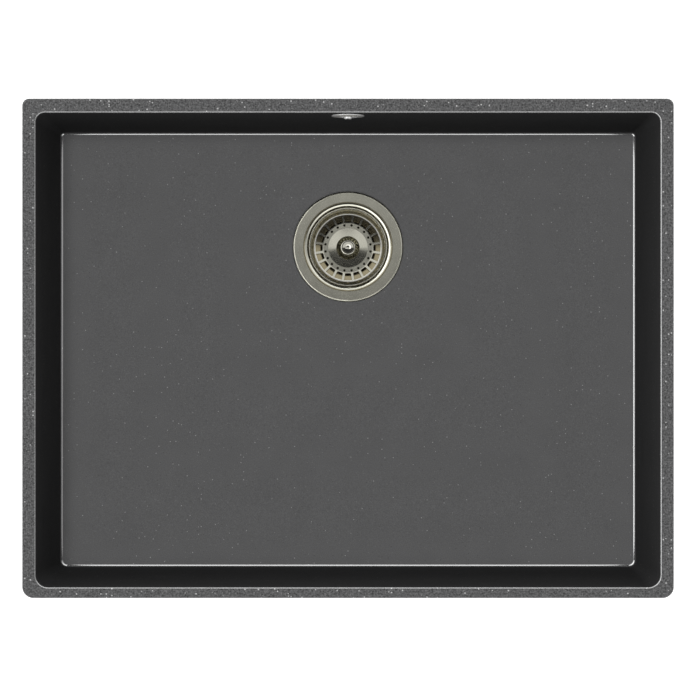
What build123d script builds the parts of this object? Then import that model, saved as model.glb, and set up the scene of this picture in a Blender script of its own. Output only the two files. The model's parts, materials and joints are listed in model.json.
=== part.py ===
"""Undermount single bowl sink in granite composite, with its basket strainer waste and overflow.

The origin is the middle of the rim's top face, which is glued up against a worktop's underside.
X runs along the sink, Y points to its rear and Z points up. All lengths are in millimetres.
"""

import os
from math import radians, sin, tan

from build123d import *

# Rim, which is flat and shows all round below the worktop's cut-out
rim_length = 600.0
rim_width = 460.0
rim_thickness = 12.0
rim_side = 12.5
rim_rear = 13.2
rim_front = 10.2
rim_corner_rear = 6.5
rim_corner_front = 10.5
rim_edge_break = 0.6
rim_inner_round = 1.5

# Bowl
bowl_depth = 200.0
wall = 8.0
floor_thickness = 10.0
wall_draft = 1.4
mouth_corner_rear = 8.2
mouth_corner_front = 11.2
floor_round = 2.6
underside_round = 10.0
floor_fall = 2.0
fall_margin = 15.0

# Drain through the floor, off the middle of the bowl and nearer its rear
drain_setback = 116.8
drain_diameter = 90.0
drain_pad = 140.0
drain_pad_height = 3.0
recess_clearance = 0.8

# Strainer cup, pressed from stainless sheet
flange_diameter = 109.0
flange_proud = 0.4
cup_sheet = 1.0
cup_lip_drop = 2.2
cup_lip_round = 2.0
cup_throat = 79.6
cup_shoulder_round = 6.2
cup_shoulder_angle = 28.0
cup_throat_round = 1.1
cup_groove = 0.8
cup_groove_depth = 0.35
cup_depth = 44.5
cup_corner = 4.0
cup_dish = 2.4
cup_seat = 45.0
cup_outlet = 33.0
cup_hub = 13.0
cup_spoke_width = 3.2
cup_spokes = 4
flange_gasket_height = 1.6
flange_gasket_share = 0.68
lower_gasket_height = 3.0

# Lift-out basket, pressed from thinner sheet
basket_sheet = 0.8
basket_slots = 20
lip_clearance = 1.0
lip_drop = 4.0
lip_round = 0.7
basket_wall_top = 37.7
basket_wall_foot = 37.2
basket_corner_rise = 2.2
ledge_drop = 35.1
ledge_outer = 33.9
ledge_inner = 33.0
band_inner = 24.6
ring_drop = 36.6
ring_inner = 19.6
bell_rise = 1.4
bell_foot = 11.6
dome_rise = 8.0
dome_flat = 6.2
window_outer = 32.2
window_inner = 25.2
window_rib = 2.2
upper_hole_diameter = 1.8
upper_ring_radius = 35.2
lower_hole_diameter = 2.6
lower_ring_radius = 22.6
hole_sides = 8

# Knob on the basket
knob_diameter = 15.4
knob_foot = 12.0
knob_neck = 8.0
knob_foot_height = 1.6
knob_neck_height = 4.2
knob_head_height = 5.0
knob_round = 1.4
knob_groove_diameter = 12.0
knob_groove = 0.6
knob_crown = 0.4
knob_dish = 6.0
knob_dish_depth = 0.7

# Pin, nut, retainer and seal under the basket
pin_diameter = 5.0
pin_foot_gap = 0.4
o_ring_section = 1.1
o_ring_groove_diameter = 3.8
o_ring_depth = 2.6
nut_flats = 8.0
nut_height = 2.6
fastener_gap = 0.05
retainer_sheet = 0.8
retainer_skirt = 29.4
retainer_foot = 2.0
seal_height = 4.6
seal_outer = 41.0
seal_flare = 0.9
seal_lip = 2.8
seal_seat_gap = 0.3

# Clamp screw through the cup into the waste body
screw_diameter = 6.0
screw_head = 13.4
screw_head_height = 7.2
screw_socket = 6.6
screw_socket_depth = 5.0
screw_length = 19.0
screw_round = 0.6
washer_height = 0.8
washer_diameter = 15.0

# Waste body, moulded in plastic
body_flange = 114.0
body_flange_height = 4.0
body_bore = 92.0
body_wall = 3.0
body_wall_height = 40.0
body_cone_height = 14.0
tail_diameter = 46.3
tail_wall = 3.25
tail_length = 34.0
hub_diameter = 16.0
hub_height = 22.0
hub_rib = 2.6
hub_ribs = 4
hub_rib_top = 7.0
insert_diameter = 10.0
insert_height = 12.0
insert_floor = 2.0
port_drop = 25.0
port_diameter = 22.0
port_bore = 17.0
port_stub = 17.0

# Nut and rubber cone on the overflow port
port_nut_diameter = 31.0
port_nut_length = 14.0
port_nut_mouth = 19.0
port_nut_lip = 2.4
port_nut_grips = 10
port_nut_grip = 3.0
port_seal_height = 4.0
port_seal_bore = 17.6
port_seal_tip = 19.6

# Overflow high on the rear wall
overflow_drop = 26.0
overflow_bore = 20.0
cover_diameter = 30.4
cover_edge = 0.8
cover_dome = 1.0
cover_slots = 8
cover_slot_length = 4.6
cover_slot = 2.0
cover_slot_radius = 6.3
cover_screw = 4.0
cover_screw_head = 7.0
cover_screw_head_height = 1.5
cover_screw_length = 7.2
cover_slot_depth = 0.7
cover_slot_width = 1.0
bush_flange = 27.6
bush_flange_height = 3.0
bush_clearance = 0.3
bush_bore = 16.0
bush_socket_depth = 6.0
bush_throat = 15.0
bush_hub = 7.4
bush_spoke_width = 2.2
bush_spokes = 3
bush_inset = 1.0
bush_insert_diameter = 5.4
bush_insert_length = 5.0
overflow_gasket_height = 1.2

# Threaded inserts and their bosses under the rim
boss_length = 22.0
boss_drop = 14.0
boss_draft = 6.0
boss_setback = 0.4
boss_spacing_x = 380.0
boss_spacing_y = 260.0
clip_insert_flats = 6.4
clip_insert_length = 10.0
clip_thread_diameter = 4.2
clip_insert_edge = 5.2

# Cuts run past what they cut by this much
overrun = 1.0

# Places worked out from the sizes above
mouth_length = rim_length - 2 * rim_side
mouth_width = rim_width - rim_rear - rim_front
mouth_y = (rim_front - rim_rear) / 2
mouth_rear_y = mouth_y + mouth_width / 2
drain_y = mouth_rear_y - drain_setback
floor_z = -bowl_depth
drain_z = floor_z - floor_fall
underside_z = floor_z - floor_thickness
pad_z = underside_z - drain_pad_height
flange_z = drain_z + flange_proud
seat_z = flange_z - cup_sheet - flange_gasket_height
cup_floor_z = flange_z - cup_depth
body_z = pad_z - lower_gasket_height
fall_length = mouth_length - 2 * fall_margin
fall_width = mouth_width - 2 * fall_margin
fall_foot = flange_diameter + 2 * recess_clearance
fall_rear = drain_y - mouth_y + fall_width / 2
drain_plane = Plane.XZ.offset(-drain_y)
drain_axis = Axis((0, drain_y, 0), (0, 0, 1))


def drain_level(height):
    """A level sketch plane centred on the drain."""
    return Plane((0, drain_y, height))


def rounded_outline(length, width, rear_round, front_round):
    """A rectangle with one radius on its two rear corners and another on its two front ones."""
    with BuildSketch() as outline:
        Rectangle(length, width)
        fillet(outline.vertices().group_by(Axis.Y)[-1], radius=rear_round)
        fillet(outline.vertices().group_by(Axis.Y)[0], radius=front_round)
    return outline.sketch


def drafted_block(length, width, rear_round, front_round, depth, foot_round):
    """A block that hangs from the rim plane, drawn in by the draft and rounded round its foot."""
    with BuildPart() as block:
        with BuildSketch(Plane((0, mouth_y, 0))):
            add(rounded_outline(length, width, rear_round, front_round))
        extrude(amount=-depth, taper=wall_draft)
        fillet(block.faces().sort_by(Axis.Z)[0].edges(), radius=foot_round)
    return block.part


# Threaded inserts stand in rows under the rim, one pair a side
insert_y = rim_width / 2 - clip_insert_edge
insert_x = rim_length / 2 - clip_insert_edge
insert_places = [(x, y) for x in (-boss_spacing_x / 2, boss_spacing_x / 2) for y in (-insert_y, insert_y)]
insert_places += [(x, y) for x in (-insert_x, insert_x) for y in (-boss_spacing_y / 2, boss_spacing_y / 2)]
boss_top_z = -rim_thickness
boss_foot_z = boss_top_z - boss_drop

# The overflow's plane lies on the inside of the rear wall, and its Z axis points into the bowl
wall_lean = Vector(0, 0, 1).rotate(Axis.X, 90 - wall_draft)
overflow_wall_y = mouth_rear_y - overflow_drop * abs(wall_lean.Z / wall_lean.Y)
overflow_plane = Plane((0, overflow_wall_y, -overflow_drop), x_dir=(1, 0, 0), z_dir=tuple(wall_lean))
wall_through = wall * abs(wall_lean.Y)

# Bowl, with its hollow, floor, drain, overflow hole and bosses
with BuildPart() as floor_slope:
    with Locations((-fall_length / 2, mouth_y - fall_width / 2, floor_z)):
        Wedge(
            fall_length,
            floor_fall,
            fall_width,
            (fall_length - fall_foot) / 2,
            fall_rear - fall_foot / 2,
            (fall_length + fall_foot) / 2,
            fall_rear + fall_foot / 2,
            rotation=(-90, 0, 0),
            align=(Align.MIN, Align.MIN, Align.MIN),
        )

with BuildPart() as sink_bowl:
    with BuildSketch(Plane.XY.offset(-rim_thickness)):
        add(rounded_outline(rim_length, rim_width, rim_corner_rear, rim_corner_front))
    extrude(amount=rim_thickness)
    chamfer(sink_bowl.faces().sort_by(Axis.Z)[-1].edges(), length=rim_edge_break)
    with BuildSketch(Plane.XY.offset(boss_top_z)):
        for x, y in insert_places:
            on_long_side = abs(abs(y) - insert_y) < abs(abs(x) - insert_x)
            boss_depth = 2 * (clip_insert_edge - boss_setback)
            with Locations((x, y)):
                if on_long_side:
                    Rectangle(boss_length, boss_depth)
                else:
                    Rectangle(boss_depth, boss_length)
    extrude(amount=-boss_drop, taper=boss_draft)
    add(
        drafted_block(
            mouth_length + 2 * wall,
            mouth_width + 2 * wall,
            mouth_corner_rear + wall,
            mouth_corner_front + wall,
            bowl_depth + floor_thickness,
            underside_round,
        )
    )
    with BuildSketch(drain_level(pad_z)):
        Circle(drain_pad / 2)
    extrude(amount=drain_pad_height + overrun)
    add(
        drafted_block(
            mouth_length, mouth_width, mouth_corner_rear, mouth_corner_front, bowl_depth, floor_round
        ),
        mode=Mode.SUBTRACT,
    )
    fillet(sink_bowl.faces().sort_by(Axis.Z)[-1].inner_wires()[0].edges(), radius=rim_inner_round)
    add(floor_slope.part, mode=Mode.SUBTRACT)
    with BuildSketch(drain_level(seat_z)):
        Circle(flange_diameter / 2 + recess_clearance)
    extrude(amount=drain_z - seat_z + overrun, mode=Mode.SUBTRACT)
    with BuildSketch(drain_level(pad_z - overrun)):
        Circle(drain_diameter / 2)
    extrude(amount=seat_z - pad_z + 2 * overrun, mode=Mode.SUBTRACT)
    with BuildSketch(overflow_plane.offset(overrun)):
        Circle(overflow_bore / 2)
    extrude(amount=-(wall_through + 2 * overrun), mode=Mode.SUBTRACT)
    with BuildSketch(Plane.XY.offset(boss_foot_z - overrun)):
        with Locations(*insert_places):
            RegularPolygon(clip_insert_flats / 2, 6, major_radius=False)
    extrude(amount=clip_insert_length + overrun, mode=Mode.SUBTRACT)

# Brass inserts, flush with the feet of the bosses
with BuildPart() as clip_inserts:
    with BuildSketch(Plane.XY.offset(boss_foot_z)):
        with Locations(*insert_places):
            RegularPolygon(clip_insert_flats / 2, 6, major_radius=False)
            Circle(clip_thread_diameter / 2, mode=Mode.SUBTRACT)
    extrude(amount=clip_insert_length)

# Strainer cup: flange with a turned-down edge, polished shoulder, throat and spoked floor
flange_radius = flange_diameter / 2
throat_radius = cup_throat / 2
shoulder_reach = (cup_shoulder_round - cup_throat_round) * sin(radians(cup_shoulder_angle))
shoulder_radius = throat_radius + cup_throat_round + shoulder_reach
groove_radius = shoulder_radius + cup_groove
outlet_radius = cup_outlet / 2
corner_radius = throat_radius - cup_corner
seat_radius = cup_seat / 2
dish_z = cup_floor_z + cup_dish
with BuildPart() as strainer_cup:
    with BuildSketch(drain_plane):
        with BuildLine():
            Line((flange_radius, flange_z - cup_lip_drop), (flange_radius, flange_z - cup_lip_round))
            RadiusArc(
                (flange_radius, flange_z - cup_lip_round),
                (flange_radius - cup_lip_round, flange_z),
                -cup_lip_round,
            )
            Polyline(
                (flange_radius - cup_lip_round, flange_z),
                (groove_radius, flange_z),
                (groove_radius - cup_groove / 2, flange_z - cup_groove_depth),
                (shoulder_radius, flange_z),
            )
            shoulder = JernArc((shoulder_radius, flange_z), (-1, 0), cup_shoulder_round, cup_shoulder_angle)
            throat_arc = JernArc(shoulder @ 1, shoulder % 1, cup_throat_round, 90 - cup_shoulder_angle)
            throat_top_z = (throat_arc @ 1).Y
            Polyline(
                (throat_radius, throat_top_z),
                (throat_radius, dish_z + cup_corner),
                (corner_radius, dish_z),
                (seat_radius, cup_floor_z),
                (outlet_radius, cup_floor_z),
                (outlet_radius, cup_floor_z - cup_sheet),
                (seat_radius, cup_floor_z - cup_sheet),
            )
            Polyline(
                (seat_radius, cup_floor_z - cup_sheet),
                (corner_radius, dish_z - cup_sheet),
                (throat_radius + cup_sheet, dish_z + cup_corner),
                (throat_radius + cup_sheet, throat_top_z),
                (shoulder_radius, flange_z - cup_sheet),
                (flange_radius - cup_lip_round, flange_z - cup_sheet),
                (flange_radius - cup_sheet, flange_z - cup_lip_round),
            )
            Polyline(
                (flange_radius - cup_sheet, flange_z - cup_lip_round),
                (flange_radius - cup_sheet, flange_z - cup_lip_drop),
                (flange_radius, flange_z - cup_lip_drop),
            )
        make_face()
    revolve(axis=drain_axis)
    with BuildSketch(drain_level(cup_floor_z)):
        Circle(cup_hub / 2)
        with PolarLocations(0, cup_spokes):
            Rectangle(outlet_radius + overrun, cup_spoke_width, align=(Align.MIN, Align.CENTER))
        Circle(screw_diameter / 2 + fastener_gap, mode=Mode.SUBTRACT)
    extrude(amount=-cup_sheet)

# Rings that seal the cup and the waste body against the bowl
flange_overlap = (flange_diameter - drain_diameter) / 2
with BuildPart() as flange_gasket:
    with BuildSketch(drain_level(seat_z)):
        Circle(drain_diameter / 2 + flange_gasket_share * flange_overlap)
        Circle(drain_diameter / 2, mode=Mode.SUBTRACT)
    extrude(amount=flange_gasket_height)

with BuildPart() as lower_gasket:
    with BuildSketch(drain_level(body_z)):
        Circle(body_flange / 2)
        Circle(body_bore / 2, mode=Mode.SUBTRACT)
    extrude(amount=lower_gasket_height)

# Basket: lip, steep wall, ledge, dished band of windows, ring of holes and a dome that rises to the knob
half_pitch = 180 / basket_slots
window_half_outer = window_outer * tan(radians(half_pitch)) - window_rib / 2
window_half_inner = window_inner * tan(radians(half_pitch)) - window_rib / 2
with BuildSketch() as window:
    with BuildLine():
        Polyline(
            (window_inner, -window_half_inner),
            (window_outer, -window_half_outer),
            (window_outer, window_half_outer),
            (window_inner, window_half_inner),
            close=True,
        )
    make_face()

lip_z = flange_z - lip_drop
lip_radius = throat_radius - lip_clearance
ledge_z = flange_z - ledge_drop
ring_z = flange_z - ring_drop
bell_z = ring_z + bell_rise
dome_z = ring_z + dome_rise
with BuildPart() as basket:
    with BuildSketch(drain_plane):
        with BuildLine():
            Polyline(
                (lip_radius, lip_z - lip_round),
                (lip_radius - lip_round, lip_z),
                (basket_wall_top, lip_z),
                (basket_wall_top - lip_round, lip_z - lip_round),
                (basket_wall_foot - basket_sheet, ledge_z + basket_corner_rise),
                (ledge_outer, ledge_z),
                (ledge_inner, ledge_z),
                (band_inner, ring_z),
                (ring_inner, ring_z),
                (bell_foot, bell_z),
                (dome_flat, dome_z),
                (pin_diameter / 2 + fastener_gap, dome_z),
                (pin_diameter / 2 + fastener_gap, dome_z - basket_sheet),
                (dome_flat - basket_sheet / 2, dome_z - basket_sheet),
                (bell_foot - basket_sheet / 2, bell_z - basket_sheet),
                (ring_inner, ring_z - basket_sheet),
                (band_inner, ring_z - basket_sheet),
                (ledge_inner, ledge_z - basket_sheet),
                (ledge_outer + basket_sheet / 2, ledge_z - basket_sheet),
                (basket_wall_foot, ledge_z + basket_corner_rise - basket_sheet / 2),
                (basket_wall_top, lip_z - 2 * lip_round),
                (lip_radius, lip_z - 2 * lip_round),
                (lip_radius, lip_z - lip_round),
            )
        make_face()
    revolve(axis=drain_axis)
    with BuildSketch(drain_level(ring_z - 2 * basket_sheet)):
        with PolarLocations(0, basket_slots, start_angle=90):
            add(window.sketch)
    extrude(amount=ring_drop - ledge_drop + 4 * basket_sheet, mode=Mode.SUBTRACT)
    with BuildSketch(drain_level(ledge_z - 2 * basket_sheet)):
        with PolarLocations(upper_ring_radius, basket_slots, start_angle=90):
            RegularPolygon(upper_hole_diameter / 2, hole_sides)
    extrude(amount=basket_corner_rise + 4 * basket_sheet, mode=Mode.SUBTRACT)
    with BuildSketch(drain_level(ring_z - 2 * basket_sheet)):
        with PolarLocations(lower_ring_radius, basket_slots, start_angle=90 + half_pitch):
            RegularPolygon(lower_hole_diameter / 2, hole_sides)
    extrude(amount=4 * basket_sheet, mode=Mode.SUBTRACT)

# Knob, with a foot on the dome, a neck for the fingers and a grooved and dished head
knob_radius = knob_diameter / 2
knob_neck_z = dome_z + knob_foot_height
knob_head_z = knob_neck_z + knob_neck_height
knob_top_z = knob_head_z + knob_head_height
knob_crown_z = knob_top_z + knob_crown
dish_radius = (knob_dish**2 / 4 + knob_dish_depth**2) / (2 * knob_dish_depth)
pin_bore = pin_diameter / 2 + fastener_gap
with BuildPart() as basket_knob:
    with BuildSketch(drain_plane):
        with BuildLine():
            Polyline(
                (pin_bore, knob_head_z),
                (pin_bore, dome_z),
                (min(knob_foot / 2, dome_flat), dome_z),
                (knob_foot / 2, knob_neck_z - knob_foot_height / 2),
                (knob_neck / 2, knob_neck_z),
                (knob_neck / 2, knob_head_z),
                (knob_radius - knob_round, knob_head_z),
                (knob_radius, knob_head_z + knob_round),
                (knob_radius, knob_top_z - knob_round),
            )
            RadiusArc(
                (knob_radius, knob_top_z - knob_round), (knob_radius - knob_round, knob_top_z), -knob_round
            )
            Polyline(
                (knob_radius - knob_round, knob_top_z),
                (knob_groove_diameter / 2, knob_top_z),
                (knob_groove_diameter / 2 - knob_groove / 2, knob_top_z - knob_groove / 2),
                (knob_groove_diameter / 2 - knob_groove, knob_top_z),
                (knob_dish / 2, knob_crown_z),
            )
            RadiusArc((knob_dish / 2, knob_crown_z), (0, knob_crown_z - knob_dish_depth), dish_radius)
            Polyline((0, knob_crown_z - knob_dish_depth), (0, knob_head_z), (pin_bore, knob_head_z))
        make_face()
    revolve(axis=drain_axis)

# Pin up through the dome into the knob, with a groove for its rubber ring
socket_top_z = cup_floor_z + washer_height + screw_head_height
socket_floor_z = socket_top_z - screw_socket_depth
pin_foot_z = socket_floor_z + pin_foot_gap
o_ring_z = socket_top_z - o_ring_depth
pin_radius = pin_diameter / 2
o_ring_groove = o_ring_groove_diameter / 2
with BuildPart() as basket_pin:
    with BuildSketch(drain_plane):
        with BuildLine():
            Polyline(
                (0, knob_head_z),
                (pin_radius, knob_head_z),
                (pin_radius, o_ring_z + o_ring_section / 2),
                (o_ring_groove, o_ring_z + o_ring_section / 2),
                (o_ring_groove, o_ring_z - o_ring_section / 2),
                (pin_radius, o_ring_z - o_ring_section / 2),
                (pin_radius, pin_foot_z + screw_round),
                (pin_radius - screw_round, pin_foot_z),
                (0, pin_foot_z),
                close=True,
            )
        make_face()
    revolve(axis=drain_axis)

with BuildPart() as pin_o_ring:
    with BuildSketch(drain_plane):
        with Locations((o_ring_groove + o_ring_section / 2, o_ring_z)):
            Rectangle(o_ring_section, o_ring_section)
    revolve(axis=drain_axis)

# Pressed dish that nests under the dome and holds the rubber seal up against the basket's ring
skirt_radius = retainer_skirt / 2
retainer_top_z = dome_z - basket_sheet - fastener_gap
retainer_foot_z = ring_z - basket_sheet - seal_height + seal_lip / 2
retainer_bell_z = bell_z - basket_sheet - fastener_gap
retainer_flat = dome_flat - basket_sheet / 2 - fastener_gap
retainer_bell = bell_foot - basket_sheet / 2 - fastener_gap
with BuildPart() as seal_retainer:
    with BuildSketch(drain_plane):
        with BuildLine():
            Polyline(
                (pin_bore, retainer_top_z),
                (retainer_flat, retainer_top_z),
                (retainer_bell, retainer_bell_z),
                (skirt_radius, ring_z - basket_sheet),
                (skirt_radius, retainer_foot_z),
                (skirt_radius + retainer_foot, retainer_foot_z),
                (skirt_radius + retainer_foot, retainer_foot_z - retainer_sheet),
                (skirt_radius - retainer_sheet, retainer_foot_z - retainer_sheet),
                (skirt_radius - retainer_sheet, ring_z - basket_sheet - retainer_sheet / 2),
                (retainer_bell - retainer_sheet / 2, retainer_bell_z - retainer_sheet),
                (retainer_flat - retainer_sheet / 2, retainer_top_z - retainer_sheet),
                (pin_bore, retainer_top_z - retainer_sheet),
                close=True,
            )
        make_face()
    revolve(axis=drain_axis)

with BuildPart() as basket_nut:
    with BuildSketch(drain_level(retainer_top_z - retainer_sheet)):
        RegularPolygon(nut_flats / 2, 6, major_radius=False)
        Circle(pin_bore, mode=Mode.SUBTRACT)
    extrude(amount=-nut_height)

seal_top_z = ring_z - basket_sheet
seal_foot_z = cup_floor_z + seal_seat_gap
seal_radius = seal_outer / 2
with BuildPart() as basket_seal:
    with BuildSketch(drain_plane):
        with BuildLine():
            Polyline(
                (skirt_radius + fastener_gap, seal_top_z),
                (seal_radius, seal_top_z),
                (seal_radius + seal_flare, seal_foot_z),
                (seal_radius - seal_lip + seal_flare, seal_foot_z),
                (skirt_radius + retainer_foot + fastener_gap, retainer_foot_z),
                (skirt_radius + fastener_gap, retainer_foot_z),
                close=True,
            )
        make_face()
    revolve(axis=drain_axis)

# Clamp screw, whose head is a socket for the pin, and its washer on the cup's hub
screw_seat_z = cup_floor_z + washer_height
screw_foot_z = screw_seat_z - screw_length
with BuildPart() as clamp_screw:
    with BuildSketch(drain_plane):
        with BuildLine():
            Polyline(
                (0, socket_floor_z),
                (screw_socket / 2, socket_floor_z),
                (screw_socket / 2, socket_top_z),
                (screw_head / 2 - screw_round, socket_top_z),
                (screw_head / 2, socket_top_z - screw_round),
                (screw_head / 2, screw_seat_z),
                (screw_diameter / 2, screw_seat_z),
                (screw_diameter / 2, screw_foot_z + screw_round),
                (screw_diameter / 2 - screw_round, screw_foot_z),
                (0, screw_foot_z),
                close=True,
            )
        make_face()
    revolve(axis=drain_axis)

with BuildPart() as clamp_washer:
    with BuildSketch(drain_level(cup_floor_z)):
        Circle(washer_diameter / 2)
        Circle(screw_diameter / 2 + fastener_gap, mode=Mode.SUBTRACT)
    extrude(amount=washer_height)

# Waste body: flange, bowl, cone and threaded tail, with a hub on ribs and an overflow port
body_bore_radius = body_bore / 2
body_outer = body_bore_radius + body_wall
port_reach = body_outer + port_stub
cone_z = body_z - body_wall_height
tail_z = cone_z - body_cone_height
tail_foot_z = tail_z - tail_length
tail_radius = tail_diameter / 2
tail_bore = tail_radius - tail_wall
hub_top_z = cup_floor_z - cup_sheet
hub_foot_z = hub_top_z - hub_height
port_z = body_z - port_drop
port_plane = Plane((0, drain_y, port_z), x_dir=(1, 0, 0), z_dir=(0, 1, 0))
with BuildPart() as waste_body:
    with BuildSketch(drain_plane):
        with BuildLine():
            Polyline(
                (0, body_z),
                (body_flange / 2, body_z),
                (body_flange / 2, body_z - body_flange_height),
                (body_outer, body_z - body_flange_height),
                (body_outer, cone_z - body_wall),
                (tail_radius, tail_z - body_wall),
                (tail_radius, tail_foot_z),
                (0, tail_foot_z),
                close=True,
            )
        make_face()
    revolve(axis=drain_axis)
    with BuildSketch(port_plane):
        Circle(port_diameter / 2)
    extrude(amount=port_reach)
    with BuildSketch(drain_plane):
        with BuildLine():
            Polyline(
                (0, body_z + overrun),
                (body_bore_radius, body_z + overrun),
                (body_bore_radius, cone_z),
                (tail_bore, tail_z),
                (tail_bore, tail_foot_z - overrun),
                (0, tail_foot_z - overrun),
                close=True,
            )
        make_face()
    revolve(axis=drain_axis, mode=Mode.SUBTRACT)
    with BuildSketch(port_plane):
        Circle(port_bore / 2)
    extrude(amount=port_reach + overrun, mode=Mode.SUBTRACT)
    with BuildSketch(drain_level(hub_foot_z)):
        Circle(hub_diameter / 2)
    extrude(amount=hub_height)
    for rib in range(hub_ribs):
        outward = Vector(1, 0, 0).rotate(Axis.Z, (rib + 0.5) * 360 / hub_ribs)
        with BuildSketch(Plane((0, drain_y, 0), x_dir=outward, z_dir=outward.cross(Vector(0, 0, 1)))):
            with BuildLine():
                Polyline(
                    (hub_diameter / 4, cone_z + hub_rib_top),
                    (body_bore_radius + body_wall / 2, cone_z + hub_rib_top),
                    (body_bore_radius + body_wall / 2, cone_z),
                    (tail_bore + body_wall / 2, tail_z),
                    (hub_diameter / 4, tail_z),
                    close=True,
                )
            make_face()
        extrude(amount=hub_rib / 2, both=True)
    with BuildSketch(drain_level(hub_foot_z + insert_floor)):
        Circle(insert_diameter / 2)
    extrude(amount=insert_height, mode=Mode.SUBTRACT)
    with BuildSketch(drain_level(hub_foot_z + insert_floor)):
        Circle(screw_diameter / 2 + fastener_gap)
    extrude(amount=hub_height, mode=Mode.SUBTRACT)

with BuildPart() as hub_insert:
    with BuildSketch(drain_level(hub_foot_z + insert_floor)):
        Circle(insert_diameter / 2)
        Circle(screw_diameter / 2 + fastener_gap, mode=Mode.SUBTRACT)
    extrude(amount=insert_height)

# Nut and rubber cone on the overflow port, ready for the overflow's pipe
port_end = port_plane.offset(port_reach)
nut_end = port_end.offset(port_seal_height + port_nut_lip)
with BuildPart() as port_nut:
    with BuildSketch(nut_end):
        Circle(port_nut_diameter / 2)
        with PolarLocations(port_nut_diameter / 2, port_nut_grips):
            Rectangle(port_nut_grip, port_nut_grip)
    extrude(amount=-port_nut_length)
    with BuildSketch(nut_end.offset(-port_nut_lip)):
        Circle(port_diameter / 2 + fastener_gap)
    extrude(amount=-port_nut_length, mode=Mode.SUBTRACT)
    with BuildSketch(nut_end.offset(overrun)):
        Circle(port_nut_mouth / 2)
    extrude(amount=-port_nut_length, mode=Mode.SUBTRACT)

with BuildPart() as port_seal:
    with BuildSketch(port_end):
        Circle(port_diameter / 2 - fastener_gap)
    with BuildSketch(port_end.offset(port_seal_height)):
        Circle(port_seal_tip / 2)
    loft()
    with BuildSketch(port_end):
        Circle(port_seal_bore / 2)
    extrude(amount=port_seal_height, mode=Mode.SUBTRACT)

# Overflow cover: a shallow dome with a ring of slots, pulled on by one screw
cover_radius = cover_diameter / 2
screw_seat = cover_edge + cover_dome
with BuildPart() as overflow_cover:
    with BuildSketch(overflow_plane):
        Circle(cover_radius)
    extrude(amount=cover_edge)
    with BuildSketch(overflow_plane.offset(cover_edge)):
        Circle(cover_radius)
    with BuildSketch(overflow_plane.offset(screw_seat)):
        Circle(cover_screw_head)
    loft()
    with BuildSketch(overflow_plane):
        with PolarLocations(cover_slot_radius, cover_slots, start_angle=90):
            Rectangle(cover_slot_length, cover_slot)
        Circle(cover_screw / 2 + fastener_gap)
    extrude(amount=screw_seat, mode=Mode.SUBTRACT)

with BuildPart() as overflow_screw:
    with BuildSketch(overflow_plane.offset(screw_seat)):
        Circle(cover_screw_head / 2)
    extrude(amount=cover_screw_head_height)
    chamfer(overflow_screw.faces().sort_by(Axis.Y)[0].edges(), length=screw_round)
    with BuildSketch(overflow_plane.offset(screw_seat + cover_screw_head_height)):
        Rectangle(cover_slot_width, cover_screw_head)
        Rectangle(cover_screw_head, cover_slot_width)
    extrude(amount=-cover_slot_depth, mode=Mode.SUBTRACT)
    with BuildSketch(overflow_plane.offset(screw_seat)):
        Circle(cover_screw / 2)
    extrude(amount=-cover_screw_length)

# Bush through the wall: flange behind, open spoked bore, and a brass thread in its hub
wall_back = overflow_plane.offset(-wall_through)
bush_back = wall_back.offset(-overflow_gasket_height - bush_flange_height)
bush_front = overflow_plane.offset(-bush_inset)
bush_length = wall_through - bush_inset + overflow_gasket_height + bush_flange_height
with BuildPart() as overflow_bush:
    with BuildSketch(bush_back):
        Circle(bush_flange / 2)
    extrude(amount=bush_flange_height)
    with BuildSketch(bush_back):
        Circle(overflow_bore / 2 - bush_clearance)
    extrude(amount=bush_length)
    with BuildSketch(bush_back):
        Circle(bush_throat / 2)
    extrude(amount=bush_length, mode=Mode.SUBTRACT)
    with BuildSketch(bush_back):
        Circle(bush_bore / 2)
    extrude(amount=bush_socket_depth, mode=Mode.SUBTRACT)
    with BuildSketch(bush_front):
        Circle(bush_hub / 2)
        with PolarLocations(0, bush_spokes, start_angle=90):
            Rectangle(bush_throat / 2 + overrun / 2, bush_spoke_width, align=(Align.MIN, Align.CENTER))
        Circle(bush_insert_diameter / 2, mode=Mode.SUBTRACT)
    extrude(amount=-bush_insert_length)

with BuildPart() as bush_insert:
    with BuildSketch(bush_front):
        Circle(bush_insert_diameter / 2)
        Circle(cover_screw / 2 + fastener_gap, mode=Mode.SUBTRACT)
    extrude(amount=-bush_insert_length)

with BuildPart() as overflow_gasket:
    with BuildSketch(wall_back):
        Circle(bush_flange / 2)
        Circle(overflow_bore / 2, mode=Mode.SUBTRACT)
    extrude(amount=-overflow_gasket_height)

# Write each piece under its own name
pieces = {
    "sink_bowl": sink_bowl,
    "clip_inserts": clip_inserts,
    "strainer_cup": strainer_cup,
    "flange_gasket": flange_gasket,
    "lower_gasket": lower_gasket,
    "basket": basket,
    "basket_knob": basket_knob,
    "basket_pin": basket_pin,
    "pin_o_ring": pin_o_ring,
    "basket_nut": basket_nut,
    "seal_retainer": seal_retainer,
    "basket_seal": basket_seal,
    "clamp_screw": clamp_screw,
    "clamp_washer": clamp_washer,
    "waste_body": waste_body,
    "hub_insert": hub_insert,
    "port_nut": port_nut,
    "port_seal": port_seal,
    "overflow_cover": overflow_cover,
    "overflow_screw": overflow_screw,
    "overflow_bush": overflow_bush,
    "bush_insert": bush_insert,
    "overflow_gasket": overflow_gasket,
}
os.makedirs("parts", exist_ok=True)
for name, piece in pieces.items():
    piece.part.label = name
    export_step(piece.part, f"parts/{name}.step")
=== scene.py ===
"""Looks of an undermount composite sink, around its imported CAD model. Metres, in the CAD's own frame.

All solids of the CAD model stay and get procedural materials. One piece is added, the thread on the tail.
"""

import json
from math import cos, pi, radians, sin

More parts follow.
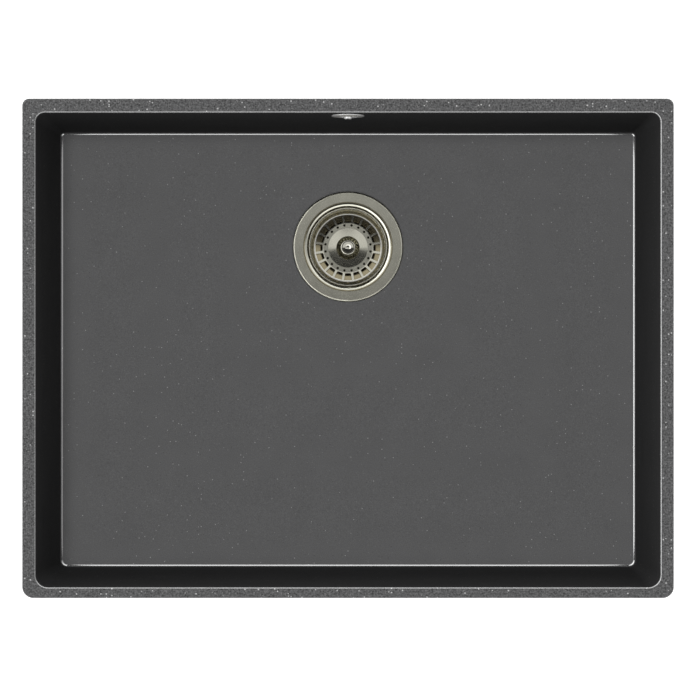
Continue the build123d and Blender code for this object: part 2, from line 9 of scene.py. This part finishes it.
import bpy
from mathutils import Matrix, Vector

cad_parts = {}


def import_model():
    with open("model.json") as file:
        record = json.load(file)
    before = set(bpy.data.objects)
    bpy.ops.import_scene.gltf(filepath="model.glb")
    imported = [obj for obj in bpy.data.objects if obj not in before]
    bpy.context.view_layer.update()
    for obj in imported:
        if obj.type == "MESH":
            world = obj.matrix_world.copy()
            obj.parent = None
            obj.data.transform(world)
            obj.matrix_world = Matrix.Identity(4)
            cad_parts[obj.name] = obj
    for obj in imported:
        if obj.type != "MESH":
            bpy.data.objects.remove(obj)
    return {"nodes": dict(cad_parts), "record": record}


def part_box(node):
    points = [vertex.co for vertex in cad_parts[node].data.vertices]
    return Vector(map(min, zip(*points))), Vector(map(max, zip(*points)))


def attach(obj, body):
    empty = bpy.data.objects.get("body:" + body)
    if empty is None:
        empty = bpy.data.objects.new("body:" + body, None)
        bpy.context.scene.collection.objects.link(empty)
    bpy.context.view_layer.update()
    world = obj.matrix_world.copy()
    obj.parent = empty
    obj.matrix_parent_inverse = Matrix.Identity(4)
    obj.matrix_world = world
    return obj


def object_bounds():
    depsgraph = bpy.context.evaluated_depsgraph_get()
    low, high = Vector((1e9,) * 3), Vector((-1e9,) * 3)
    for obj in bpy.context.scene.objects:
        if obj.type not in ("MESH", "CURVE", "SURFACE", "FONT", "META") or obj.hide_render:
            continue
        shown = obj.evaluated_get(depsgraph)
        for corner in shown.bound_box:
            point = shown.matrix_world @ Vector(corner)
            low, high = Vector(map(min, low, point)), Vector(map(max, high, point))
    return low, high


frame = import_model()
cad_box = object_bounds()
nodes = frame["nodes"]

# Camera: straight down, its distance worked out from the rim's and the floor's scales in the photograph.
# The offset is towards the rear.
camera_height = 2.9
camera_lens = 163.0
camera_sensor = 36.0
camera_reach = 100.0
camera_offset = 0.0003

# Light: a dim even world, four soft lamps high above the left rear, and four low ones round the object
world_light = 0.05
white = 1.0
floor_gap = 0.002
floor_size = 30.0
floor_shade = 0.80
floor_glow = 0.75
floor_roughness = 0.9
floor_cloud = {"scale": 3.0, "detail": 3.0, "range": (0.99, 1.01)}
top_lamp_middle = (-0.30, 0.15)
top_lamp_height = 6.8
top_lamp_offset = 0.4
top_lamp_length = 1.2
top_lamp_width = 0.6
top_lamp_powers = {"left": 113.0, "right": 109.0, "rear": 111.0, "front": 111.0}
side_lamp_length = 1.6
side_lamp_width = 0.9
side_lamp_distance = 2.2
side_lamp_height = 0.15
side_lamp_powers = {"left": 8.0, "right": 4.0, "rear": 7.0, "front": 5.0}

# What gloss reflects: strength by direction, and by the angle from straight up in degrees
gloss_base = 0.27
gloss_high = {"rear": 0.64, "front": -0.22}
gloss_high_angles = (3.0, 6.0, 24.0, 28.0)
gloss_high_blur = 0.06
gloss_slope = {"left": 3.0, "right": 0.5, "rear": 2.4, "front": 2.0}
gloss_slope_angles = (26.0, 30.0, 68.0, 72.0)
gloss_low = {"left": 1.4, "right": 0.8, "rear": 1.3, "front": 1.0}
gloss_low_angles = (74.0, 78.0, 88.0, 90.0)
gloss_side_middle = 0.7
gloss_side_blur = 0.5
smallest_level = 0.0001

# The sides that lamps and reflections are set by
outward = {"left": (-1, 0), "right": (1, 0), "rear": (0, 1), "front": (0, -1)}

# Heights on the bowl: its floor along the edge, the round there that shines, the rim's lip that shines too,
# and the rim's face. The foot shines only where it faces upward, by the height of its normal.
floor_level = -0.200
foot_shine = (0.00001, 0.00004, 0.0010, 0.0016)
foot_upward = (0.05, 0.10)
lip_shine = (-0.0016, -0.0010, -0.00006, -0.00002)
lip_polish = 0.7
rim_face = (-0.0006, -0.0003)
coat_roughness = 0.10
coat_ior = 4.0

# Composite: its tone, and the flecks of its moulded skin and of its ground rim, where more of them show.
# Cells and scales are per metre, a size is a share of the cell, and a share is that of the cells with a
# fleck, which is at full strength out to its core.
composite_tone = (0.100, 0.100, 0.101)
fleck_core = 0.7
skin_flecks = (
    {"cells": 330.0, "size": 0.20, "share": 0.14, "tone": 0.060, "strength": 0.7},
    {"cells": 600.0, "size": 0.28, "share": 0.10, "tone": 0.150, "strength": 0.8},
    {"cells": 360.0, "size": 0.18, "share": 0.07, "tone": 0.340, "strength": 0.9},
)
rim_flecks = (
    {"cells": 480.0, "size": 0.36, "share": 0.36, "tone": 0.040, "strength": 0.9},
    {"cells": 520.0, "size": 0.36, "share": 0.30, "tone": 0.190, "strength": 0.9},
    {"cells": 400.0, "size": 0.32, "share": 0.09, "tone": 0.560, "strength": 0.9},
)
skin_grain = {"scale": 1300.0, "range": (0.80, 1.20)}
rim_grain = {"scale": 560.0, "range": (0.45, 1.65)}
grain_detail = 2.0
grain_roughness = 0.6
noise_middle = (0.3, 0.7)
composite_cloud = {"scale": 30.0, "detail": 3.0, "range": (0.97, 1.03)}
composite_sheen = {"scale": 700.0, "detail": 2.0, "range": (0.60, 0.72)}
composite_relief = {"scale": 1500.0, "detail": 2.0, "depth": 0.00004}

# The drain's axis, which the turned and pressed metal is finished round
drain_low, drain_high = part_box("strainer_cup")
drain_axis = (drain_low + drain_high) / 2

# Turned metal: fine rings round the axis, and a smear that changes tone and roughness
turned_lines = {"scale": 2600.0, "detail": 3.0, "roughness": 0.7}
turned_smear = {"scale": 90.0, "detail": 4.0, "range": (0.95, 1.05)}

# Plain metal: a smear, and the fine relief of its surface
plain_smear = {"scale": 160.0, "detail": 5.0, "range": (0.96, 1.04)}
plain_polish = (0.7, 1.3)
plain_relief = {"scale": 1800.0, "detail": 3.0, "depth": 0.000004}

# Moulded rubber and plastic: a cloudiness in the tone, and a grain in the roughness and the relief
moulded_cloud = {"scale": 40.0, "detail": 3.0, "range": (0.94, 1.06)}
moulded_spread = 0.06

# Stainless steel of the strainer: its tone, its rougher outer edge, and rings painted darker or lighter:
# painted shade in the groove, the ledge's corner and the cup's floor, with some dirt in the corner, and
# painted highlights on the basket's lip and ledge.
# Radii are from the drain's axis, heights are the frame's own, and each fades over its outer steps.
strainer_tone = (0.54, 0.53, 0.45)
flange_edge_radii = (0.0515, 0.0530)
flange_edge_roughness = 0.38
polished_tone = (0.50, 0.49, 0.43)
# Tones of painted shade and painted highlight for the rings below; the corner's tone is dirt as well.
dirt_and_painted_shade = (0.42, 0.39, 0.30)
painted_shade_brown = (0.33, 0.29, 0.19)
painted_shade_dark = (0.10, 0.09, 0.06)
painted_highlight_tone = (0.95, 0.93, 0.86)
groove_heights = (-0.2030, -0.2029, -0.2010, -0.2009)
lip_heights = (-0.2072, -0.2070, -0.2050, -0.2048)
ledge_heights = (-0.2394, -0.2390, -0.2330, -0.2325)
cup_floor_heights = (-0.2600, -0.2590, -0.2394, -0.2390)
# Rings of painted light in the steel's colour, each a tone laid over a band of radii and heights.
strainer_painted_rings = (
    # Painted shade in the groove under the flange's shoulder.
    {"radii": (0.0426, 0.0428, 0.0434, 0.0436), "heights": groove_heights, "tone": painted_shade_brown},
    # Painted highlight on the basket's lip.
    {"radii": (0.0374, 0.0376, 0.0389, 0.0391), "heights": lip_heights, "tone": painted_highlight_tone},
    # Painted shade, with some dirt, in the ledge's corner.
    {"radii": (0.0338, 0.0341, 0.0368, 0.0374), "heights": ledge_heights, "tone": dirt_and_painted_shade},
    # Painted highlight on the ledge.
    {"radii": (0.0326, 0.0329, 0.0338, 0.0341), "heights": ledge_heights, "tone": painted_highlight_tone},
    # Painted shade on the cup's floor under the basket.
    {"radii": (0.0240, 0.0250, 0.0400, 0.0410), "heights": cup_floor_heights, "tone": painted_shade_brown},
    # Darker painted shade on the cup's floor under the dome.
    {"radii": (-0.001, 0.0000, 0.0240, 0.0250), "heights": cup_floor_heights, "tone": painted_shade_dark},
)

# Pipe thread on the waste's tail, 1 1/2 inch: one ridge that runs out over some steps at both its ends
thread_pitch = 0.002309
thread_turns = 12
thread_steps = 64
thread_root = 0.0229
thread_crest = 0.0239
thread_base = 0.0019
thread_land = 0.0004
thread_run_out = 24
sharp_angle = 30.0


def new_material(name):
    """A material with its node tree emptied down to a Principled shader and its output."""
    material = bpy.data.materials.new(name)
    material.use_nodes = True
    tree = material.node_tree
    tree.nodes.clear()
    shader = tree.nodes.new("ShaderNodeBsdfPrincipled")
    output = tree.nodes.new("ShaderNodeOutputMaterial")
    tree.links.new(shader.outputs["BSDF"], output.inputs["Surface"])
    return material, tree, shader


def add(tree, kind, inputs=None, **settings):
    """A node of that kind, with its settings, and its inputs set or linked."""
    node = tree.nodes.new(kind)
    for key, value in settings.items():
        setattr(node, key, value)
    for key, value in (inputs or {}).items():
        if isinstance(value, bpy.types.NodeSocket):
            tree.links.new(value, node.inputs[key])
        else:
            node.inputs[key].default_value = value
    return node


def position(tree):
    """The place on the object, in metres."""
    return add(tree, "ShaderNodeTexCoord").outputs["Object"]


def split(tree, vector):
    """The outputs X, Y and Z of a vector."""
    return add(tree, "ShaderNodeSeparateXYZ", {"Vector": vector}).outputs


def noise(tree, where, scale, detail=3.0, roughness=0.5):
    """Perlin noise, mostly between 0.3 and 0.7."""
    inputs = {"Vector": where, "Scale": scale, "Detail": detail, "Roughness": roughness}
    return add(tree, "ShaderNodeTexNoise", inputs).outputs["Fac"]


def ramp(tree, factor, low, high, start=0.0, end=1.0):
    """The factor's stretch from start to end, mapped from low to high."""
    inputs = {"Value": factor, "From Min": start, "From Max": end, "To Min": low, "To Max": high}
    return add(tree, "ShaderNodeMapRange", inputs).outputs["Result"]


def maths(tree, operation, first, second=0.0):
    """One operation on one or two values or outputs."""
    return add(tree, "ShaderNodeMath", {0: first, 1: second}, operation=operation).outputs["Value"]


def times(tree, first, second):
    """The product of two values or outputs."""
    return maths(tree, "MULTIPLY", first, second)


def plus(tree, first, second):
    """The sum of two values or outputs."""
    return maths(tree, "ADD", first, second)


def mix_colour(tree, factor, first, second, blend="MIX"):
    """The two colours mixed by the factor. The Mix node's colour sockets go by number, as names repeat."""
    inputs = {0: factor, 6: first, 7: second}
    return add(tree, "ShaderNodeMix", inputs, data_type="RGBA", blend_type=blend).outputs[2]


def opaque(tone):
    """The three parts of a tone as an RGBA colour."""
    return (*tone, 1.0)


def grey(value):
    """A grey of that value as an RGBA colour."""
    return opaque((value, value, value))


def scaled_colour(tree, tone, factor):
    """The tone, multiplied by a factor that changes over the surface."""
    scale = add(tree, "ShaderNodeCombineColor", {0: factor, 1: factor, 2: factor}).outputs[0]
    return mix_colour(tree, 1.0, opaque(tone), scale, "MULTIPLY")


def bump(tree, shader, height, depth):
    """Relief of that depth, in metres, from a height between 0 and 1."""
    node = add(tree, "ShaderNodeBump", {"Height": height, "Distance": depth, "Strength": 1.0})
    tree.links.new(node.outputs["Normal"], shader.inputs["Normal"])


def relief(tree, shader, where, kind):
    """Relief from a noise of its own."""
    bump(tree, shader, noise(tree, where, kind["scale"], kind["detail"]), kind["depth"])


def flecks(tree, where, kind):
    """Small round specks: 1 inside one, for its share of the cells of a Voronoi pattern."""
    cells = add(tree, "ShaderNodeTexVoronoi", {"Vector": where, "Scale": kind["cells"]}).outputs
    near = ramp(tree, cells["Distance"], 1.0, 0.0, kind["size"] * fleck_core, kind["size"])
    red = add(tree, "ShaderNodeSeparateColor", {"Color": cells["Color"]}).outputs["Red"]
    return times(tree, near, maths(tree, "LESS_THAN", red, kind["share"]))


def flecked(tree, where, colour, kinds):
    """The colour with each kind of fleck laid over it in turn."""
    for kind in kinds:
        mask = ramp(tree, flecks(tree, where, kind), 0.0, kind["strength"])
        colour = mix_colour(tree, mask, colour, grey(kind["tone"]))
    return colour


def grained(tree, where, tone, grain):
    """The tone with that grain in it, and a faint cloudiness over it."""
    fine = noise(tree, where, grain["scale"], grain_detail, grain_roughness)
    cloud = noise(tree, where, composite_cloud["scale"], composite_cloud["detail"])
    fine = ramp(tree, fine, *grain["range"], *noise_middle)
    cloud = ramp(tree, cloud, *composite_cloud["range"], *noise_middle)
    return scaled_colour(tree, tone, times(tree, fine, cloud))


def between(tree, value, steps):
    """1 between the two middle steps, fading to 0 at the outer ones."""
    start, full, last, end = steps
    rise = ramp(tree, value, 0.0, 1.0, start, full)
    fall = ramp(tree, value, 1.0, 0.0, last, end)
    return times(tree, rise, fall)


def composite():
    """Dark grey quartz composite: a fine even grain, with flecks that the rim's ground face shows most."""
    material, tree, shader = new_material("composite")
    where = position(tree)
    height = split(tree, where)["Z"]
    skin = flecked(tree, where, grained(tree, where, composite_tone, skin_grain), skin_flecks)
    ground = flecked(tree, where, grained(tree, where, composite_tone, rim_grain), rim_flecks)
    colour = mix_colour(tree, ramp(tree, height, 0.0, 1.0, *rim_face), skin, ground)
    tree.links.new(colour, shader.inputs["Base Color"])
    sheen = noise(tree, where, composite_sheen["scale"], composite_sheen["detail"])
    tree.links.new(ramp(tree, sheen, *composite_sheen["range"]), shader.inputs["Roughness"])
    shader.inputs["Specular IOR Level"].default_value = 0.0
    normal = add(tree, "ShaderNodeNewGeometry").outputs["Normal"]
    upward = ramp(tree, split(tree, normal)["Z"], 0.0, 1.0, *foot_upward)
    foot_steps = [floor_level + step for step in foot_shine]
    foot = times(tree, between(tree, height, foot_steps), upward)
    lip = times(tree, between(tree, height, lip_shine), lip_polish)
    tree.links.new(maths(tree, "MAXIMUM", foot, lip), shader.inputs["Coat Weight"])
    shader.inputs["Coat Roughness"].default_value = coat_roughness
    shader.inputs["Coat IOR"].default_value = coat_ior
    relief(tree, shader, where, composite_relief)
    return material


def length_of(tree, first, second):
    """The length of a flat vector with those two parts."""
    squares = plus(tree, times(tree, first, first), times(tree, second, second))
    return maths(tree, "SQRT", squares)


def with_painted_rings(tree, colour, radius, height):
    """The strainer's steel, with its rings of painted shade and painted highlight laid in, and some dirt in
    the ledge's corner.
    """
    for ring in strainer_painted_rings:
        across = between(tree, radius, ring["radii"])
        mask = times(tree, across, between(tree, height, ring["heights"]))
        colour = mix_colour(tree, mask, colour, opaque(ring["tone"]))
    return colour


def turned_metal(name, tone, roughness, spread, depth, painted_and_worn=False):
    """Metal finished in fine rings round the drain's axis."""
    material, tree, shader = new_material(name)
    where = position(tree)
    parts = split(tree, where)
    east = maths(tree, "SUBTRACT", parts["X"], drain_axis.x)
    north = maths(tree, "SUBTRACT", parts["Y"], drain_axis.y)
    radius = length_of(tree, east, north)
    rings = add(tree, "ShaderNodeCombineXYZ", {"X": radius, "Y": parts["Z"]}).outputs["Vector"]
    lines = noise(tree, rings, **turned_lines)
    smear = noise(tree, where, turned_smear["scale"], turned_smear["detail"])
    shader.inputs["Metallic"].default_value = 1.0
    colour = scaled_colour(tree, tone, ramp(tree, smear, *turned_smear["range"]))
    smeared = ramp(tree, smear, roughness - spread, roughness + spread)
    worn = plus(tree, ramp(tree, lines, -spread, spread), smeared)
    if painted_and_worn:
        # Rings of painted shade and painted highlight, with some dirt in the ledge's corner, are laid into
        # the colour here.
        colour = with_painted_rings(tree, colour, radius, parts["Z"])
        edge = ramp(tree, radius, 0.0, flange_edge_roughness, *flange_edge_radii)
        worn = maths(tree, "MAXIMUM", worn, edge)
    tree.links.new(colour, shader.inputs["Base Color"])
    tree.links.new(worn, shader.inputs["Roughness"])
    bump(tree, shader, lines, depth)
    return material


def plain_metal(name, tone, roughness, metallic=1.0):
    """Cast, plated or machined metal with a faint smear. Thin plating is given as partly metallic."""
    material, tree, shader = new_material(name)
    where = position(tree)
    smear = noise(tree, where, plain_smear["scale"], plain_smear["detail"])
    shader.inputs["Metallic"].default_value = metallic
    colour = scaled_colour(tree, tone, ramp(tree, smear, *plain_smear["range"]))
    worn = ramp(tree, smear, *(roughness * share for share in plain_polish))
    tree.links.new(colour, shader.inputs["Base Color"])
    tree.links.new(worn, shader.inputs["Roughness"])
    relief(tree, shader, where, plain_relief)
    return material


def moulded(name, tone, roughness, grain_scale, depth):
    """Moulded rubber or plastic with a fine sparked texture."""
    material, tree, shader = new_material(name)
    where = position(tree)
    grain = noise(tree, where, grain_scale)
    cloud = noise(tree, where, moulded_cloud["scale"], moulded_cloud["detail"])
    colour = scaled_colour(tree, tone, ramp(tree, cloud, *moulded_cloud["range"]))
    worn = ramp(tree, grain, roughness - moulded_spread, roughness + moulded_spread)
    tree.links.new(colour, shader.inputs["Base Color"])
    tree.links.new(worn, shader.inputs["Roughness"])
    bump(tree, shader, grain, depth)
    return material


def all_materials():
    """The record's material slots, each with its finish."""
    return {
        "composite": composite(),
        "strainer_steel": turned_metal(
            "strainer_steel", strainer_tone, roughness=0.15, spread=0.03, depth=0.000002, painted_and_worn=True),
        "polished_steel": turned_metal(
            "polished_steel", polished_tone, roughness=0.09, spread=0.02, depth=0.000001),
        "chrome": plain_metal(
            "chrome", (0.95, 0.95, 0.94), roughness=0.24, metallic=0.4),
        "seal_rubber": moulded(
            "seal_rubber", (0.022, 0.022, 0.022), roughness=0.62, grain_scale=900.0, depth=0.00003),
        "waste_plastic": moulded(
            "waste_plastic", (0.60, 0.60, 0.58), roughness=0.42, grain_scale=1200.0, depth=0.00002),
        "nut_plastic": moulded(
            "nut_plastic", (0.045, 0.045, 0.047), roughness=0.40, grain_scale=1200.0, depth=0.00002),
        "insert_brass": plain_metal(
            "insert_brass", (0.66, 0.47, 0.21), roughness=0.28),
    }


def dress_nodes(materials):
    """Gives every CAD node the material of its slot."""
    for part in frame["record"]["subparts"]:
        piece = nodes[part["node"]]
        piece.data.materials.clear()
        piece.data.materials.append(materials[part["material_slot"]])


def linked(piece):
    """The piece, put into the scene."""
    bpy.context.scene.collection.objects.link(piece)
    return piece


def thread_profile(step, last):
    """The ridge's four corners at that step: radius, and height from its middle."""
    run_out = min(1.0, step / thread_run_out, (last - step) / thread_run_out)
    crest = thread_root + (thread_crest - thread_root) * run_out
    return (
        (thread_root, -thread_base / 2),
        (crest, -thread_land / 2),
        (crest, thread_land / 2),
        (thread_root, thread_base / 2),
    )


def tail_thread(material):
    """The thread's ridge, wound up from the tail's foot, as one closed mesh."""
    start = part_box("waste_body")[0].z + thread_base
    last = thread_turns * thread_steps
    points = []
    for step in range(last + 1):
        angle = 2 * pi * step / thread_steps
        middle = start + thread_pitch * step / thread_steps
        profile = thread_profile(step, last)
        for radius, shift in profile:
            x = drain_axis.x + radius * cos(angle)
            y = drain_axis.y + radius * sin(angle)
            points.append((x, y, middle + shift))
    sides = len(profile)
    faces = [tuple(reversed(range(sides))), tuple(last * sides + side for side in range(sides))]
    for step in range(last):
        for side in range(sides):
            near, far = step * sides + side, step * sides + (side + 1) % sides
            faces.append((near, far, far + sides, near + sides))
    mesh = bpy.data.meshes.new("tail_thread")
    mesh.from_pydata(points, [], faces)
    mesh.validate()
    mesh.shade_smooth()
    mesh.set_sharp_from_angle(angle=radians(sharp_angle))
    mesh.materials.append(material)
    piece = linked(bpy.data.objects.new("tail_thread", mesh))
    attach(piece, "sink")


def floor():
    """A pale floor that the camera sees as white, and that keeps the object's shadow."""
    low = cad_box[0][2] - floor_gap
    half = floor_size / 2
    mesh = bpy.data.meshes.new("floor")
    corners = [(-half, -half, low), (half, -half, low), (half, half, low), (-half, half, low)]
    mesh.from_pydata(corners, [], [(0, 1, 2, 3)])
    piece = linked(bpy.data.objects.new("floor", mesh))
    material, tree, shader = new_material("floor")
    shader.inputs["Roughness"].default_value = floor_roughness
    shader.inputs["Specular IOR Level"].default_value = 0.0
    cloud = noise(tree, position(tree), floor_cloud["scale"], floor_cloud["detail"])
    colour = scaled_colour(tree, (floor_shade,) * 3, ramp(tree, cloud, *floor_cloud["range"]))
    tree.links.new(colour, shader.inputs["Base Color"])
    path = add(tree, "ShaderNodeLightPath").outputs
    seen = maths(tree, "MAXIMUM", straight_rays(tree, path), path["Is Glossy Ray"])
    glow = add(tree, "ShaderNodeEmission", {"Color": grey(white), "Strength": times(tree, seen, floor_glow)})
    both = add(tree, "ShaderNodeAddShader", {0: shader.outputs["BSDF"], 1: glow.outputs["Emission"]})
    output = next(node for node in tree.nodes if node.type == "OUTPUT_MATERIAL")
    tree.links.new(both.outputs["Shader"], output.inputs["Surface"])
    mesh.materials.append(material)


def straight_rays(tree, path):
    """1 for rays from the camera, and for those that have come through something clear."""
    return maths(tree, "MAXIMUM", path["Is Camera Ray"], path["Is Transmission Ray"])


def band(tree, angle, angles):
    """1 between the two middle angles, given in degrees, fading to 0 at the outer ones."""
    return between(tree, angle, [radians(degrees) for degrees in angles])


def by_side(tree, east, north, strengths):
    """A strength for each side, which fades into the next side's."""
    total = 0.0
    start, end = gloss_side_middle - gloss_side_blur, gloss_side_middle + gloss_side_blur
    for side, (x, y) in outward.items():
        toward = plus(tree, times(tree, east, float(x)), times(tree, north, float(y)))
        share = ramp(tree, toward, 0.0, 1.0, start, end)
        total = plus(tree, total, times(tree, share, strengths[side]))
    return total


def world():
    """White behind the object, low even light on it, and soft boxes that only gloss shows."""
    scene_world = bpy.data.worlds.new("studio")
    bpy.context.scene.world = scene_world
    scene_world.use_nodes = True
    scene_world.cycles.sampling_method = "NONE"
    tree = scene_world.node_tree
    tree.nodes.clear()
    parts = split(tree, add(tree, "ShaderNodeTexCoord").outputs["Generated"])
    level = length_of(tree, parts["X"], parts["Y"])
    safe = maths(tree, "MAXIMUM", level, smallest_level)
    east = maths(tree, "DIVIDE", parts["X"], safe)
    north = maths(tree, "DIVIDE", parts["Y"], safe)
    angle = maths(tree, "ARCTAN2", level, parts["Z"])
    high = ramp(tree, north, gloss_high["front"], gloss_high["rear"], -gloss_high_blur, gloss_high_blur)
    gloss = plus(tree, gloss_base, times(tree, high, band(tree, angle, gloss_high_angles)))
    for strengths, angles in ((gloss_slope, gloss_slope_angles), (gloss_low, gloss_low_angles)):
        around = by_side(tree, east, north, strengths)
        gloss = plus(tree, gloss, times(tree, around, band(tree, angle, angles)))
    path = add(tree, "ShaderNodeLightPath").outputs
    diffuse = times(tree, path["Is Diffuse Ray"], world_light)
    strength = plus(tree, times(tree, path["Is Glossy Ray"], gloss), diffuse)
    strength = plus(tree, strength, straight_rays(tree, path))
    back = add(tree, "ShaderNodeBackground", {"Color": grey(white), "Strength": strength})
    output = add(tree, "ShaderNodeOutputWorld")
    tree.links.new(back.outputs["Background"], output.inputs["Surface"])


def lamp(name, place, length, width, power):
    """A rectangle of light with its long side level, turned to the middle of the rim."""
    light = bpy.data.lights.new(name, "AREA")
    light.shape = "RECTANGLE"
    light.size = length
    light.size_y = width
    light.energy = power
    piece = linked(bpy.data.objects.new(name, light))
    piece.location = place
    piece.rotation_euler = (-Vector(place)).to_track_quat("-Z", "Y").to_euler()
    piece.visible_glossy = False


def lamps():
    """Soft lamps high above, and lower ones that reach the outside and the tops of the walls."""
    middle_x, middle_y = top_lamp_middle
    for side, (x, y) in outward.items():
        high = (middle_x + x * top_lamp_offset, middle_y + y * top_lamp_offset, top_lamp_height)
        low = (x * side_lamp_distance, y * side_lamp_distance, side_lamp_height)
        lamp(side + "_top_lamp", high, top_lamp_length, top_lamp_width, top_lamp_powers[side])
        lamp(side + "_low_lamp", low, side_lamp_length, side_lamp_width, side_lamp_powers[side])


def camera():
    """The photograph's view, straight down into the bowl."""
    data = bpy.data.cameras.new("camera")
    data.lens = camera_lens
    data.sensor_width = camera_sensor
    data.clip_end = camera_reach
    piece = linked(bpy.data.objects.new("camera", data))
    piece.location = (0, camera_offset, camera_height)
    bpy.context.scene.camera = piece


finishes = all_materials()
dress_nodes(finishes)
tail_thread(finishes["waste_plastic"])
floor()
world()
lamps()
camera()
bpy.context.scene.view_settings.view_transform = "Standard"
